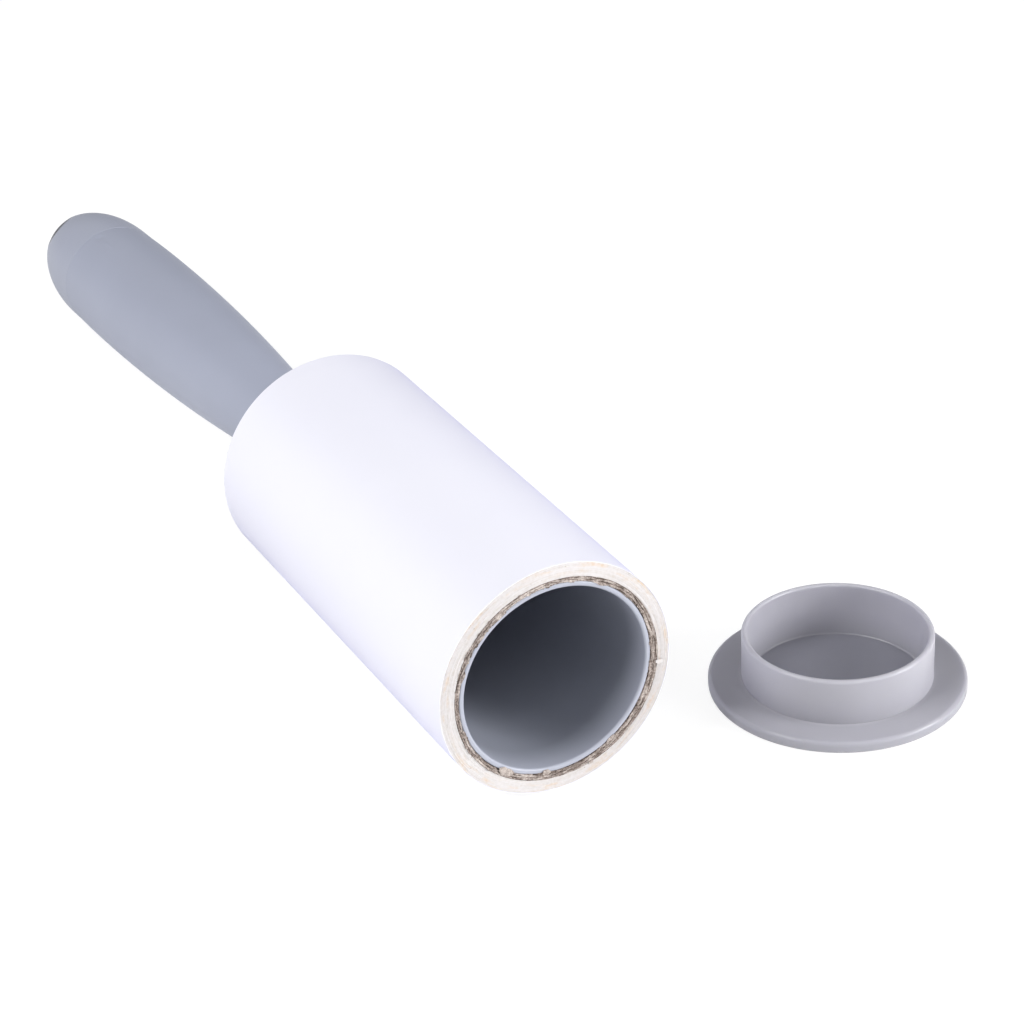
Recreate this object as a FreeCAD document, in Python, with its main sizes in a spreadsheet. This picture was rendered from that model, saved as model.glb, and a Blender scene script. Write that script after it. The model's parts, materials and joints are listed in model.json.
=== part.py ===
"""Lint roller with a refillable barrel, lying on a table with its end cap pulled off beside it.

The origin is the centre of the barrel's open mouth. +Y runs along the barrel towards the handle
and +Z is up. Turned pieces are drawn as half sections, radius against distance along their axis.
"""
import FreeCAD, Part
import os
import Sketcher
from FreeCAD import Placement, Rotation, Vector

# alias, millimetres or degrees, meaning
DIMENSIONS = [
    ("tube_length", 100.0, "barrel tube, mouth to rear end"),
    ("tube_outer", 19.7, "barrel tube outside radius"),
    ("mouth_radius", 18.65, "barrel tube inside radius at the mouth"),
    ("mouth_depth", 50.0, "depth of the mouth bore, to the step that the hubs sit behind"),
    ("seat_radius", 18.2, "barrel tube inside radius behind the step"),
    ("fit_gap", 0.02, "gap between pieces that are pressed or glued together"),
    ("run_gap", 0.05, "gap between pieces that turn or slide on each other"),
    ("hub_wall", 1.6, "wall of the hub rims"),
    ("web_thickness", 2.0, "web of the front hub"),
    ("flange_radius", 21.5, "rear hub flange that stops the refill's cardboard tube"),
    ("flange_thickness", 1.8, "rear hub flange"),
    ("flange_round", 0.6, "rounding of the rear hub flange"),
    ("spigot_length", 10.0, "rim of the rear hub inside the tube"),
    ("boss_radius", 7.0, "boss of both hubs"),
    ("boss_length", 14.0, "boss of both hubs"),
    ("front_hub_at", 54.0, "front face of the front hub"),
    ("front_rim_length", 8.0, "rim of the front hub"),
    ("window_radius", 3.4, "lightening window in the front hub"),
    ("window_pitch", 11.8, "radius of the circle that the windows lie on"),
    ("axle_radius", 3.0, "steel axle"),
    ("axle_front", 50.4, "front end of the axle, clear of the mouth bore"),
    ("axle_in_handle", 27.0, "length of axle pressed into the handle"),
    ("axle_chamfer", 0.5, "chamfer of both axle ends"),
    ("groove_radius", 2.3, "bottom of the clip groove in the axle"),
    ("bush_outer", 4.6, "bush sleeve outside radius"),
    ("bush_flange", 6.3, "bush flange radius"),
    ("bush_flange_thickness", 0.8, "bush flange"),
    ("bush_length", 11.0, "bush sleeve"),
    ("washer_outer", 6.0, "washers on the axle"),
    ("washer_thickness", 0.8, "washers on the axle"),
    ("clip_outer", 4.8, "axle clip outside radius"),
    ("clip_thickness", 0.7, "axle clip"),
    ("clip_opening", 3.6, "mouth of the axle clip"),
    ("core_wall", 1.15, "cardboard tube of the refill"),
    ("sheets_outer", 23.52, "wound sheets, outside radius under the top sheet"),
    ("sheet_thickness", 0.12, "the top sheet, paper and adhesive"),
    ("sheet_turn", 357.0, "degrees of the roll that the top sheet covers"),
    ("droop", 3.25, "degrees that the grip points below the barrel's axis"),
    ("grip_at_a", 8.0, "first grip station, from the rear end of the tube"),
    ("grip_at_b", 30.0, "grip station"),
    ("grip_at_c", 60.0, "grip station"),
    ("grip_at_d", 90.0, "grip station"),
    ("grip_at_e", 108.0, "grip station at the belly"),
    ("grip_at_f", 126.5, "last grip station, the seam with the tail"),
    ("grip_radius_a", 7.6, "grip radius at the first station"),
    ("grip_radius_b", 9.2, "grip radius"),
    ("grip_radius_c", 11.5, "grip radius"),
    ("grip_radius_d", 12.8, "grip radius"),
    ("grip_radius_e", 13.1, "grip radius at the belly"),
    ("grip_radius_f", 12.85, "grip radius at the seam"),
    ("grip_wall", 1.6, "soft sleeve"),
    ("hollow_from", 40.0, "start of the hollow in the handle core"),
    ("hollow_radius", 6.4, "hollow of the handle core at its start"),
    ("socket_radius", 9.6, "socket for the tail plug"),
    ("socket_length", 12.0, "socket for the tail plug"),
    ("plug_spigot", 11.0, "spigot of the tail plug in the socket"),
    ("plug_wall", 2.2, "wall of the spigot"),
    ("tail_radius", 12.95, "tail radius at the seam, just proud of the grip"),
    ("tail_straight", 4.5, "straight stretch of the tail before it rounds off"),
    ("tail_length", 28.5, "rounded stretch of the tail"),
    ("tail_twist", -40.0, "degrees that the hanging hole is turned from upright"),
    ("hanging_hole", 3.2, "hanging hole radius"),
    ("hanging_at", 18.95, "hanging hole, from the start of the rounded stretch"),
    ("hanging_round", 0.8, "rounding of the hanging hole's mouths"),
    ("seam_round", 0.4, "rounding of the tail's edge at the seam"),
    ("cap_flange", 25.1, "end cap flange radius"),
    ("cap_flange_thickness", 2.4, "end cap flange"),
    ("cap_skirt_outer", 18.6, "end cap skirt, which plugs into the mouth"),
    ("cap_skirt_inner", 17.45, "end cap skirt inside, at the top"),
    ("cap_floor_radius", 17.15, "end cap skirt inside, at the floor"),
    ("cap_floor_thickness", 0.7, "end cap floor"),
    ("cap_height", 11.85, "end cap, flange face to skirt rim"),
    ("cap_round", 0.5, "rounding of the cap's rims"),
    ("cap_fillet", 0.4, "fillet around the cap's floor"),
    ("cap_side", 63.35, "end cap centre, to the side of the barrel's axis"),
    ("cap_back", 4.05, "end cap centre, behind the mouth"),
]
STATIONS = "abcdef"
WINDOW_COUNT = 4
TOOL_RADIUS = 40.0

doc = FreeCAD.newDocument("LintRoller")
sheet = doc.addObject("Spreadsheet::Sheet", "Sizes")
sheet.Label = "Sizes"
for row, (alias, value, meaning) in enumerate(DIMENSIONS, start=1):
    sheet.set(f"A{row}", alias)
    sheet.set(f"B{row}", str(value))
    sheet.set(f"C{row}", meaning)
    sheet.setAlias(f"B{row}", alias)
doc.recompute()

SIZES = {alias: value for alias, value, meaning in DIMENSIONS}

# Shared places along the barrel's axis, as formulas of the sheet.
REAR_FACE = "tube_length + fit_gap + flange_thickness"
REAR_BUSH_FACE = f"{REAR_FACE} + fit_gap + bush_flange_thickness"
HANDLE_FACE = f"{REAR_BUSH_FACE} + run_gap + washer_thickness + fit_gap"
FRONT_BUSH_FACE = "front_hub_at - fit_gap - bush_flange_thickness"
END_WASHER_BACK = f"{FRONT_BUSH_FACE} - run_gap"
CLIP_BACK = f"{END_WASHER_BACK} - washer_thickness - fit_gap"
GROOVE_BACK = f"{CLIP_BACK} + fit_gap"
GROOVE_FRONT = f"{CLIP_BACK} - clip_thickness - fit_gap"
AXLE_BACK = f"{HANDLE_FACE} + axle_in_handle"
CORE_INNER = "tube_outer + run_gap"
CORE_OUTER = f"{CORE_INNER} + core_wall"
REFILL_BACK = "tube_length - run_gap"
SEAM = "grip_at_f + run_gap"
TOP_SHEET_INNER = "sheets_outer + fit_gap"
TOP_SHEET_OUTER = f"{TOP_SHEET_INNER} + sheet_thickness"

ALONG_BARREL = Rotation(Vector(1, 0, 0), -90)
BARREL_FRAME = Placement(Vector(0, 0, 0), ALONG_BARREL)


def value_of(formula):
    """A formula of sheet aliases, worked out as a number."""
    total = 0.0
    sign = 1.0
    for word in formula.split():
        if word in "+-":
            sign = 1.0 if word == "+" else -1.0
        else:
            total += sign * (SIZES[word] if word in SIZES else float(word))
    return total


def bound(formula):
    """The same formula, with each alias looked up in the sheet, for setExpression."""
    words = [f"Sizes.{word}" if word in SIZES else word for word in formula.split()]
    return " ".join(words)


def new_body(label, placement):
    body = doc.addObject("PartDesign::Body", label)
    body.Label = label
    body.Placement = placement
    return body


def new_sketch(body, name, role, height=None):
    """A sketch on one of the body's own origin planes, lifted by a formula if one is given."""
    sketch = body.newObject("Sketcher::SketchObject", name)
    plane = next(part for part in body.Origin.OriginFeatures if part.Role == role)
    sketch.AttachmentSupport = [(plane, "")]
    sketch.MapMode = "FlatFace"
    if height is not None:
        sketch.AttachmentOffset = Placement(Vector(0, 0, value_of(height)), Rotation())
        sketch.setExpression("AttachmentOffset.Base.z", bound(height))
    return sketch


def pin_point(sketch, edge, point, formulas):
    """Hold one sketch point at a place given by two formulas."""
    for direction, formula in zip(("DistanceX", "DistanceY"), formulas):
        place = Sketcher.Constraint(direction, -1, 1, edge, point, value_of(formula))
        index = sketch.addConstraint(place)
        sketch.setExpression(f"Constraints[{index}]", bound(formula))


def draw_section(body, name, corners):
    """A closed outline of straight edges through (radius, distance) corners."""
    sketch = new_sketch(body, name, "XZ_Plane")
    points = [Vector(value_of(radius), value_of(along), 0) for radius, along in corners]
    count = len(points)
    for index in range(count):
        sketch.addGeometry(Part.LineSegment(points[index], points[(index + 1) % count]), False)
    for index in range(count):
        sketch.addConstraint(Sketcher.Constraint("Coincident", index, 2, (index + 1) % count, 1))
        pin_point(sketch, index, 1, corners[index])
    return sketch


def draw_circle(body, name, radius, height=None, centre=("0", "0"), role="XY_Plane"):
    sketch = new_sketch(body, name, role, height)
    middle = Vector(value_of(centre[0]), value_of(centre[1]), 0)
    sketch.addGeometry(Part.Circle(middle, Vector(0, 0, 1), value_of(radius)), False)
    if centre == ("0", "0"):
        sketch.addConstraint(Sketcher.Constraint("Coincident", 0, 3, -1, 1))
    else:
        pin_point(sketch, 0, 3, centre)
    index = sketch.addConstraint(Sketcher.Constraint("Radius", 0, value_of(radius)))
    sketch.setExpression(f"Constraints[{index}]", bound(radius))
    return sketch


def turn(body, name, corners, kind="Revolution", angle=None):
    """Turn a section about the body's axis, adding it or, as a Groove, cutting it away."""
    before = body.Tip.Shape.Volume if body.Tip else 0.0
    sketch = draw_section(body, f"{name}_section", corners)
    feature = body.newObject(f"PartDesign::{kind}", name)
    feature.Profile = sketch
    feature.ReferenceAxis = (sketch, ["V_Axis"])
    feature.Angle = 360.0
    if angle is not None:
        feature.setExpression("Angle", bound(angle))
    doc.recompute()
    if kind == "Groove":
        check_cut(feature, before)
    return feature


def check_cut(feature, before):
    """A cut that points away from the solid removes nothing, so compare the volumes."""
    if not 0 < feature.Shape.Volume < before - 1:
        raise RuntimeError(f"{feature.Name} removed nothing")


def round_rims(body, name, radius, rims):
    """Fillet the circular edges that lie at the given (radius, distance) places."""
    feature = body.Tip
    wanted = [(value_of(size), value_of(along)) for size, along in rims]
    names = []
    for number, edge in enumerate(feature.Shape.Edges, start=1):
        if edge.Degenerated or not isinstance(edge.Curve, Part.Circle):
            continue
        for size, along in wanted:
            near = abs(edge.Curve.Radius - size) < 0.005 and abs(edge.Curve.Center.z - along) < 0.005
            if near:
                names.append(f"Edge{number}")
    if len(names) < len(wanted):
        raise RuntimeError(f"{name}: found {len(names)} of {len(wanted)} rims")
    fillet = body.newObject("PartDesign::Fillet", name)
    fillet.Base = (feature, names)
    fillet.Radius = value_of(radius)
    fillet.setExpression("Radius", bound(radius))
    doc.recompute()
    return fillet


def mouth_edges(shape, radius):
    """Names of the curved edges around a hole of the given radius."""
    rims = []
    for face in shape.Faces:
        if isinstance(face.Surface, Part.Cylinder) and abs(face.Surface.Radius - radius) < 0.005:
            rims += [edge for edge in face.Edges if not isinstance(edge.Curve, Part.Line)]
    numbered = enumerate(shape.Edges, start=1)
    return [f"Edge{number}" for number, edge in numbered if any(edge.isSame(rim) for rim in rims)]


def ring_corners(inner, outer, start, end):
    return [(inner, start), (outer, start), (outer, end), (inner, end)]


def turned_ring(label, inner, outer, start, end, angle=None):
    body = new_body(label, BARREL_FRAME)
    turn(body, f"{label}_ring", ring_corners(inner, outer, start, end), angle=angle)
    return body


def make_barrel():
    """Thin tube, open at the mouth, with a step inside that the hubs are pushed up to."""
    body = new_body("roller_barrel", BARREL_FRAME)
    corners = [
        ("mouth_radius", "0"),
        ("tube_outer", "0"),
        ("tube_outer", "tube_length"),
        ("seat_radius", "tube_length"),
        ("seat_radius", "mouth_depth"),
        ("mouth_radius", "mouth_depth"),
    ]
    turn(body, "barrel_wall", corners)
    return body


def make_rear_hub():
    """Flanged end of the barrel: rim inside the tube, flange behind the refill, bearing boss."""
    body = new_body("rear_hub", BARREL_FRAME)
    flange_front = "tube_length + fit_gap"
    rim_front = "tube_length - spigot_length"
    rim_inner = "seat_radius - fit_gap - hub_wall"
    boss_front = f"{REAR_FACE} - boss_length"
    corners = [
        ("bush_outer + fit_gap", boss_front),
        ("boss_radius", boss_front),
        ("boss_radius", flange_front),
        (rim_inner, flange_front),
        (rim_inner, rim_front),
        ("seat_radius - fit_gap", rim_front),
        ("seat_radius - fit_gap", flange_front),
        ("flange_radius", flange_front),
        ("flange_radius", REAR_FACE),
        ("bush_outer + fit_gap", REAR_FACE),
    ]
    turn(body, "rear_hub_turned", corners)
    round_rims(body, "rear_hub_round", "flange_round", [("flange_radius", REAR_FACE)])
    return body


def make_front_hub():
    """Bearing web inside the barrel, lightened by a ring of windows."""
    body = new_body("front_hub", BARREL_FRAME)
    rim_back = "front_hub_at + front_rim_length"
    web_back = "front_hub_at + web_thickness"
    corners = [
        ("bush_outer + fit_gap", "front_hub_at"),
        ("seat_radius - fit_gap", "front_hub_at"),
        ("seat_radius - fit_gap", rim_back),
        ("seat_radius - fit_gap - hub_wall", rim_back),
        ("seat_radius - fit_gap - hub_wall", web_back),
        ("boss_radius", web_back),
        ("boss_radius", "front_hub_at + boss_length"),
        ("bush_outer + fit_gap", "front_hub_at + boss_length"),
    ]
    turn(body, "front_hub_turned", corners)
    solid = body.Tip.Shape.Volume
    window = draw_circle(body, "window_outline", "window_radius", "front_hub_at", ("window_pitch", "0"))
    pocket = body.newObject("PartDesign::Pocket", "window_cut")
    pocket.Profile = window
    pocket.setExpression("Length", bound("web_thickness"))
    pocket.Reversed = True
    doc.recompute()
    check_cut(pocket, solid)
    pattern = body.newObject("PartDesign::PolarPattern", "windows")
    pattern.Originals = [pocket]
    turn_axis = next(part for part in body.Origin.OriginFeatures if part.Role == "Z_Axis")
    pattern.Axis = (turn_axis, [""])
    pattern.Angle = 360.0
    pattern.Occurrences = WINDOW_COUNT
    body.Tip = pattern
    doc.recompute()
    return body


def make_bush(label, flange_from, flange_to, sleeve_from, sleeve_to):
    """Plain flanged bush; the flange may be at either end of the sleeve."""
    body = new_body(label, BARREL_FRAME)
    inner = "axle_radius + run_gap"
    if value_of(flange_from) < value_of(sleeve_from):
        corners = [
            (inner, flange_from),
            ("bush_flange", flange_from),
            ("bush_flange", flange_to),
            ("bush_outer", flange_to),
            ("bush_outer", sleeve_to),
            (inner, sleeve_to),
        ]
    else:
        corners = [
            (inner, sleeve_from),
            ("bush_outer", sleeve_from),
            ("bush_outer", flange_from),
            ("bush_flange", flange_from),
            ("bush_flange", flange_to),
            (inner, flange_to),
        ]
    turn(body, f"{label}_turned", corners)
    return body


def make_bushes():
    sleeve_front = f"{REAR_FACE} - bush_length"
    rear_flange = f"{REAR_FACE} + fit_gap"
    make_bush("rear_bush", rear_flange, REAR_BUSH_FACE, sleeve_front, rear_flange)
    front_flange = "front_hub_at - fit_gap"
    make_bush("front_bush", FRONT_BUSH_FACE, front_flange, front_flange, "front_hub_at + bush_length")


def make_axle():
    """Steel rod pressed into the handle, grooved near its front end for the clip."""
    body = new_body("axle", BARREL_FRAME)
    corners = [
        ("0", "axle_front"),
        ("axle_radius - axle_chamfer", "axle_front"),
        ("axle_radius", "axle_front + axle_chamfer"),
        ("axle_radius", GROOVE_FRONT),
        ("groove_radius", GROOVE_FRONT),
        ("groove_radius", GROOVE_BACK),
        ("axle_radius", GROOVE_BACK),
        ("axle_radius", f"{AXLE_BACK} - axle_chamfer"),
        ("axle_radius - axle_chamfer", AXLE_BACK),
        ("0", AXLE_BACK),
    ]
    turn(body, "axle_turned", corners)
    return body


def make_washers():
    washer_inner = "axle_radius + fit_gap"
    end_front = f"{END_WASHER_BACK} - washer_thickness"
    turned_ring("end_washer", washer_inner, "washer_outer", end_front, END_WASHER_BACK)
    thrust_front = f"{REAR_BUSH_FACE} + run_gap"
    thrust_back = f"{thrust_front} + washer_thickness"
    turned_ring("thrust_washer", washer_inner, "washer_outer", thrust_front, thrust_back)


def make_clip():
    """Open ring that snaps into the axle's groove from the side."""
    ring = turned_ring("axle_clip_ring", "groove_radius + fit_gap", "clip_outer",
                       f"{CLIP_BACK} - clip_thickness", CLIP_BACK)
    mouth = doc.addObject("Part::Box", "clip_mouth")
    mouth.setExpression("Length", bound("clip_opening"))
    mouth.setExpression("Width", bound("clip_thickness + 2"))
    mouth.setExpression("Height", bound("clip_outer + 1"))
    mouth.Placement.Base = Vector(-value_of("clip_opening") / 2, value_of(CLIP_BACK) - 2, 0)
    clip = doc.addObject("Part::Cut", "axle_clip")
    clip.Label = "axle_clip"
    clip.Base = ring
    clip.Tool = mouth
    doc.recompute()
    return clip


def make_refill():
    """Cardboard tube, the sheets wound on it, and the top sheet with its free edge."""
    turned_ring("cardboard_core", CORE_INNER, CORE_OUTER, "0", REFILL_BACK)
    turned_ring("sheet_roll", f"{CORE_OUTER} + fit_gap", "sheets_outer", "0", REFILL_BACK)
    turned_ring("outer_sheet", TOP_SHEET_INNER, TOP_SHEET_OUTER, "0", REFILL_BACK, "sheet_turn")


def handle_frame(twist=0.0):
    """The grip's axis starts at the rear end of the tube and points a little downwards."""
    tilt = Rotation(Vector(1, 0, 0), -90 - value_of("droop"))
    return Placement(Vector(0, value_of("tube_length"), 0), tilt * Rotation(Vector(0, 0, 1), twist))


def loft_grip(body, name, kind, inset):
    """Smooth loft through the grip stations, with every radius smaller by inset."""
    sections = []
    for station in STATIONS:
        radius = f"grip_radius_{station} - {inset}"
        sections.append(draw_circle(body, f"{name}_{station}", radius, f"grip_at_{station}"))
    loft = body.newObject(f"PartDesign::{kind}", name)
    loft.Profile = sections[0]
    loft.Sections = sections[1:]
    loft.Ruled = False
    doc.recompute()
    return loft


def make_grip_sleeve():
    """Soft sleeve moulded over the handle core."""
    body = new_body("grip_sleeve", handle_frame())
    loft_grip(body, "sleeve_outside", "AdditiveLoft", "0")
    loft_grip(body, "sleeve_inside", "SubtractiveLoft", "grip_wall")
    return body


def axis_cylinder(name, radius, start, end):
    """A plain cylinder on the barrel's axis, used to cut."""
    tool = doc.addObject("Part::Cylinder", name)
    tool.Radius = radius
    tool.Height = end - start
    tool.Placement = Placement(Vector(0, start, 0), ALONG_BARREL)
    return tool


def make_handle_core():
    """Rigid handle: a collar behind the barrel, the stem under the sleeve, a hollow and a socket."""
    body = new_body("handle_stem", handle_frame())
    neck_radius = "grip_radius_a - grip_wall - fit_gap"
    collar = [
        ("0", "0"),
        ("grip_radius_a", "0"),
        ("grip_radius_a", "grip_at_a - run_gap"),
        (neck_radius, "grip_at_a - run_gap"),
        (neck_radius, "grip_at_a"),
        ("0", "grip_at_a"),
    ]
    turn(body, "stem_collar", collar)
    loft_grip(body, "stem", "AdditiveLoft", "grip_wall - fit_gap")
    socket_front = "grip_at_f - socket_length"
    hollow = [
        ("0", "hollow_from"),
        ("hollow_radius", "hollow_from"),
        ("socket_radius", socket_front),
        ("socket_radius", "grip_at_f + 1"),
        ("0", "grip_at_f + 1"),
    ]
    turn(body, "stem_hollow", hollow, kind="Groove")
    face = value_of(HANDLE_FACE)
    trim = axis_cylinder("collar_trim", TOOL_RADIUS, face - TOOL_RADIUS, face)
    bore = axis_cylinder("axle_bore", 0, face, value_of(AXLE_BACK) + 1)
    bore.setExpression("Radius", bound("axle_radius + fit_gap"))
    tools = doc.addObject("Part::MultiFuse", "core_tools")
    tools.Shapes = [trim, bore]
    core = doc.addObject("Part::Cut", "handle_core")
    core.Label = "handle_core"
    core.Base = body
    core.Tool = tools
    doc.recompute()
    return core


def make_tail_plug():
    """Rounded end of the handle: a spigot in the core's socket and a hole to hang it up by."""
    body = new_body("tail_plug", handle_frame(value_of("tail_twist")))
    spigot_front = f"{SEAM} - plug_spigot"
    round_from = f"{SEAM} + tail_straight"
    spigot_inner = "socket_radius - run_gap - plug_wall"
    corners = [
        (spigot_inner, spigot_front),
        ("socket_radius - run_gap", spigot_front),
        ("socket_radius - run_gap", SEAM),
        ("tail_radius", SEAM),
        ("tail_radius", round_from),
        ("0", round_from),
        ("0", SEAM),
        (spigot_inner, SEAM),
    ]
    turn(body, "plug_spigot_turned", corners)
    dome = body.newObject("PartDesign::AdditiveEllipsoid", "plug_dome")
    plane = next(part for part in body.Origin.OriginFeatures if part.Role == "XY_Plane")
    dome.AttachmentSupport = [(plane, "")]
    dome.MapMode = "FlatFace"
    dome.AttachmentOffset = Placement(Vector(0, 0, value_of(round_from)), Rotation())
    dome.setExpression("AttachmentOffset.Base.z", bound(round_from))
    dome.Angle1 = 0
    dome.Angle2 = 90
    dome.setExpression("Radius1", bound("tail_length"))
    dome.setExpression("Radius2", bound("tail_radius"))
    dome.setExpression("Radius3", bound("tail_radius"))
    doc.recompute()
    round_rims(body, "seam_edge", "seam_round", [("tail_radius", SEAM)])
    solid = body.Tip.Shape.Volume
    hole = body.newObject("PartDesign::Pocket", "hanging_cut")
    middle = ("0", f"{round_from} + hanging_at")
    hole.Profile = draw_circle(body, "hanging_outline", "hanging_hole", centre=middle, role="XZ_Plane")
    hole.Type = "ThroughAll"
    hole.Midplane = True
    doc.recompute()
    check_cut(hole, solid)
    rounded = body.newObject("PartDesign::Fillet", "hanging_mouths")
    rounded.Base = (hole, mouth_edges(hole.Shape, value_of("hanging_hole")))
    rounded.setExpression("Radius", bound("hanging_round"))
    doc.recompute()
    return body


def make_end_cap():
    """Cap that plugs into the mouth: a flange wider than the refill and a thin hollow skirt.

    It lies on the same table as the roll, whose outside is the top sheet.
    """
    place = Vector(value_of("cap_side"), value_of("cap_back"), -value_of(TOP_SHEET_OUTER))
    body = new_body("end_cap", Placement(place, Rotation()))
    corners = [
        ("0", "0"),
        ("cap_flange", "0"),
        ("cap_flange", "cap_flange_thickness"),
        ("cap_skirt_outer", "cap_flange_thickness"),
        ("cap_skirt_outer", "cap_height"),
        ("cap_skirt_inner", "cap_height"),
        ("cap_floor_radius", "cap_floor_thickness"),
        ("0", "cap_floor_thickness"),
    ]
    turn(body, "cap_turned", corners)
    rims = [
        ("cap_flange", "0"),
        ("cap_flange", "cap_flange_thickness"),
        ("cap_skirt_outer", "cap_height"),
        ("cap_skirt_inner", "cap_height"),
    ]
    round_rims(body, "cap_rims", "cap_round", rims)
    round_rims(body, "cap_floor_edge", "cap_fillet", [("cap_floor_radius", "cap_floor_thickness")])
    return body


def check_document():
    """Stop if any object failed, or if a piece has no valid solid."""
    doc.recompute()
    for item in doc.Objects:
        if "Invalid" in item.State or "Error" in item.State:
            raise RuntimeError(f"{item.Label} failed: {item.State}")


PIECES = [
    "handle_core", "grip_sleeve", "tail_plug", "axle", "thrust_washer", "end_washer", "axle_clip",
    "roller_barrel", "front_hub", "rear_hub", "front_bush", "rear_bush",
    "cardboard_core", "sheet_roll", "outer_sheet", "end_cap",
]


def export_pieces():
    os.makedirs("parts", exist_ok=True)
    for label in PIECES:
        shape = doc.getObjectsByLabel(label)[0].Shape
        if shape.isNull() or not shape.isValid() or len(shape.Solids) != 1:
            raise RuntimeError(f"{label} is not one valid solid")
        box = shape.BoundBox
        size = f"{box.XLength:.1f} x {box.YLength:.1f} x {box.ZLength:.1f} mm"
        print(f"{label:16s} {shape.Volume:10.1f} mm3  {size}")
        shape.exportStep(f"parts/{label}.step")


make_barrel()
make_rear_hub()
make_front_hub()
make_bushes()
make_axle()
make_washers()
make_clip()
make_refill()
make_grip_sleeve()
make_handle_core()
make_tail_plug()
make_end_cap()
check_document()
export_pieces()
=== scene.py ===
"""Looks of the lint roller: finer meshes, materials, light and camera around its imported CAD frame.

The barrel's axis is +Y with its open mouth at the origin, and the handle leaves it at a small
droop. The end cap stands on the floor beside the mouth. All lengths are metres.
"""
import json
import math

import bmesh
import bpy
import numpy as np
from mathutils import Matrix, Vector
from numpy.polynomial import Polynomial


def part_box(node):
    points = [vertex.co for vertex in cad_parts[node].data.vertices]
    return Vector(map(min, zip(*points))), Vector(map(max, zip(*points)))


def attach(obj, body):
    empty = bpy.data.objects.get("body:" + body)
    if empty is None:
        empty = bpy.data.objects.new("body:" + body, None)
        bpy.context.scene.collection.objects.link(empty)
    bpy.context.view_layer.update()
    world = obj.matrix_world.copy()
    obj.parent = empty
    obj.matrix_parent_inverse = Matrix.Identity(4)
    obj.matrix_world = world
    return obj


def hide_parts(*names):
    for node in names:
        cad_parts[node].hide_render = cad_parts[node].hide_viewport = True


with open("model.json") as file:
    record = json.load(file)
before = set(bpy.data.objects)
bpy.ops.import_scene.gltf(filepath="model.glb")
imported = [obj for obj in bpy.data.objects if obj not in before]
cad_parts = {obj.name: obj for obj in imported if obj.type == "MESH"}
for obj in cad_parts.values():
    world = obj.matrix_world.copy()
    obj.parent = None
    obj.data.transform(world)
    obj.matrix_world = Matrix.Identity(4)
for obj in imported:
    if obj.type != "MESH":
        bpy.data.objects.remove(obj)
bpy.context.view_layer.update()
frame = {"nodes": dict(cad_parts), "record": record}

MM = 0.001
TURN = 2 * math.pi
SHARP = math.radians(38)

# What the frame says.
MOUNTS = {mount["name"]: mount for mount in frame["record"]["mounts"]}
TUBE_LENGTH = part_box("roller_barrel")[1].y
TUBE_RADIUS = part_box("roller_barrel")[1].x
MOUTH_RADIUS = MOUNTS["barrel_mouth"]["dims"]["r_mm"] * MM
MOUTH_DEPTH = MOUNTS["barrel_mouth"]["dims"]["length_mm"] * MM
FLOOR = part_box("end_cap")[0].z
CAP_CENTRE = (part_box("end_cap")[0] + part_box("end_cap")[1]) / 2

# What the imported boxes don't show, as in the CAD part.
RUN_GAP = 0.05 * MM
DROOP = math.radians(3.25)
SEAT_STEP = 0.45 * MM
FIT_GAP = 0.02 * MM
GRIP_START = 8.0 * MM
GRIP_END = 126.5 * MM
GRIP_WALL = 1.6 * MM
HUB_WALL = 1.6 * MM
BOSS_RADIUS = 7.0 * MM
BUSH_RADIUS = 4.6 * MM
BUSH_FLANGE = 0.8 * MM
AXLE_GROOVE = 2.3 * MM
CAP_FLOOR = 0.7 * MM
CAP_BORE = 17.15 * MM

# The cardboard's cut end is pushed out of round on one side: the radius of its outer edge where
# it is least, what is added to that towards OVAL_TOWARDS, and how far in the tube is round again.
OVAL_TOWARDS = math.radians(40)
OVAL_LEAST = 20.60 * MM
OVAL_PUSH = 0.80 * MM
OVAL_DEPTH = 6 * MM

# On the cut ends: where adhesive stains the sheets, and the glue line in the cardboard.
STAIN_INNER = 21.4 * MM
STAIN_OUTER = 22.9 * MM
GLUE_LINE = 20.82 * MM

# The mouldings' mark near the seam, on the grip's own angles.
MARK_ANGLE = math.radians(-107.4)
SINK_AT = 123.9 * MM
MARK_FROM = 112.5 * MM
MARK_TO = 121.5 * MM

ALONG_BARREL = Matrix.Rotation(-TURN / 4, 4, "X")
ALONG_HANDLE = Matrix.Translation((0, TUBE_LENGTH, 0)) @ Matrix.Rotation(-TURN / 4 - DROOP, 4, "X")


# Outlines and turned meshes

def rounded(corners, closed=True, steps=7):
    """An outline of (radius, along) points from (radius, along, round) corners, rounds as arcs."""
    points = []
    count = len(corners)
    for index, (radius, along, bend) in enumerate(corners):
        corner = Vector((radius, along))
        if bend == 0 or (not closed and index in (0, count - 1)):
            points.append(corner)
            continue
        before = (Vector(corners[index - 1][:2]) - corner).normalized()
        after = (Vector(corners[(index + 1) % count][:2]) - corner).normalized()
        half = before.angle(after) / 2
        centre = corner + (before + after).normalized() * bend / math.sin(half)
        start = corner + before * bend / math.tan(half) - centre
        finish = corner + after * bend / math.tan(half) - centre
        sweep = math.atan2(start.cross(finish), start.dot(finish))
        for step in range(steps + 1):
            turned = Matrix.Rotation(sweep * step / steps, 2) @ start
            points.append(centre + turned)
    return np.array([tuple(point) for point in points])


def turned_grid(outline, turns, sweep=TURN):
    """Every outline point at every angle, as (angles, radii, alongs), each turns by points."""
    whole = abs(sweep - TURN) < 1e-9
    angles = np.linspace(0, sweep, turns, endpoint=not whole)
    angle = np.repeat(angles[:, None], len(outline), axis=1)
    radius = np.repeat(outline[None, :, 0], turns, axis=0)
    along = np.repeat(outline[None, :, 1], turns, axis=0)
    return angle, radius, along


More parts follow.
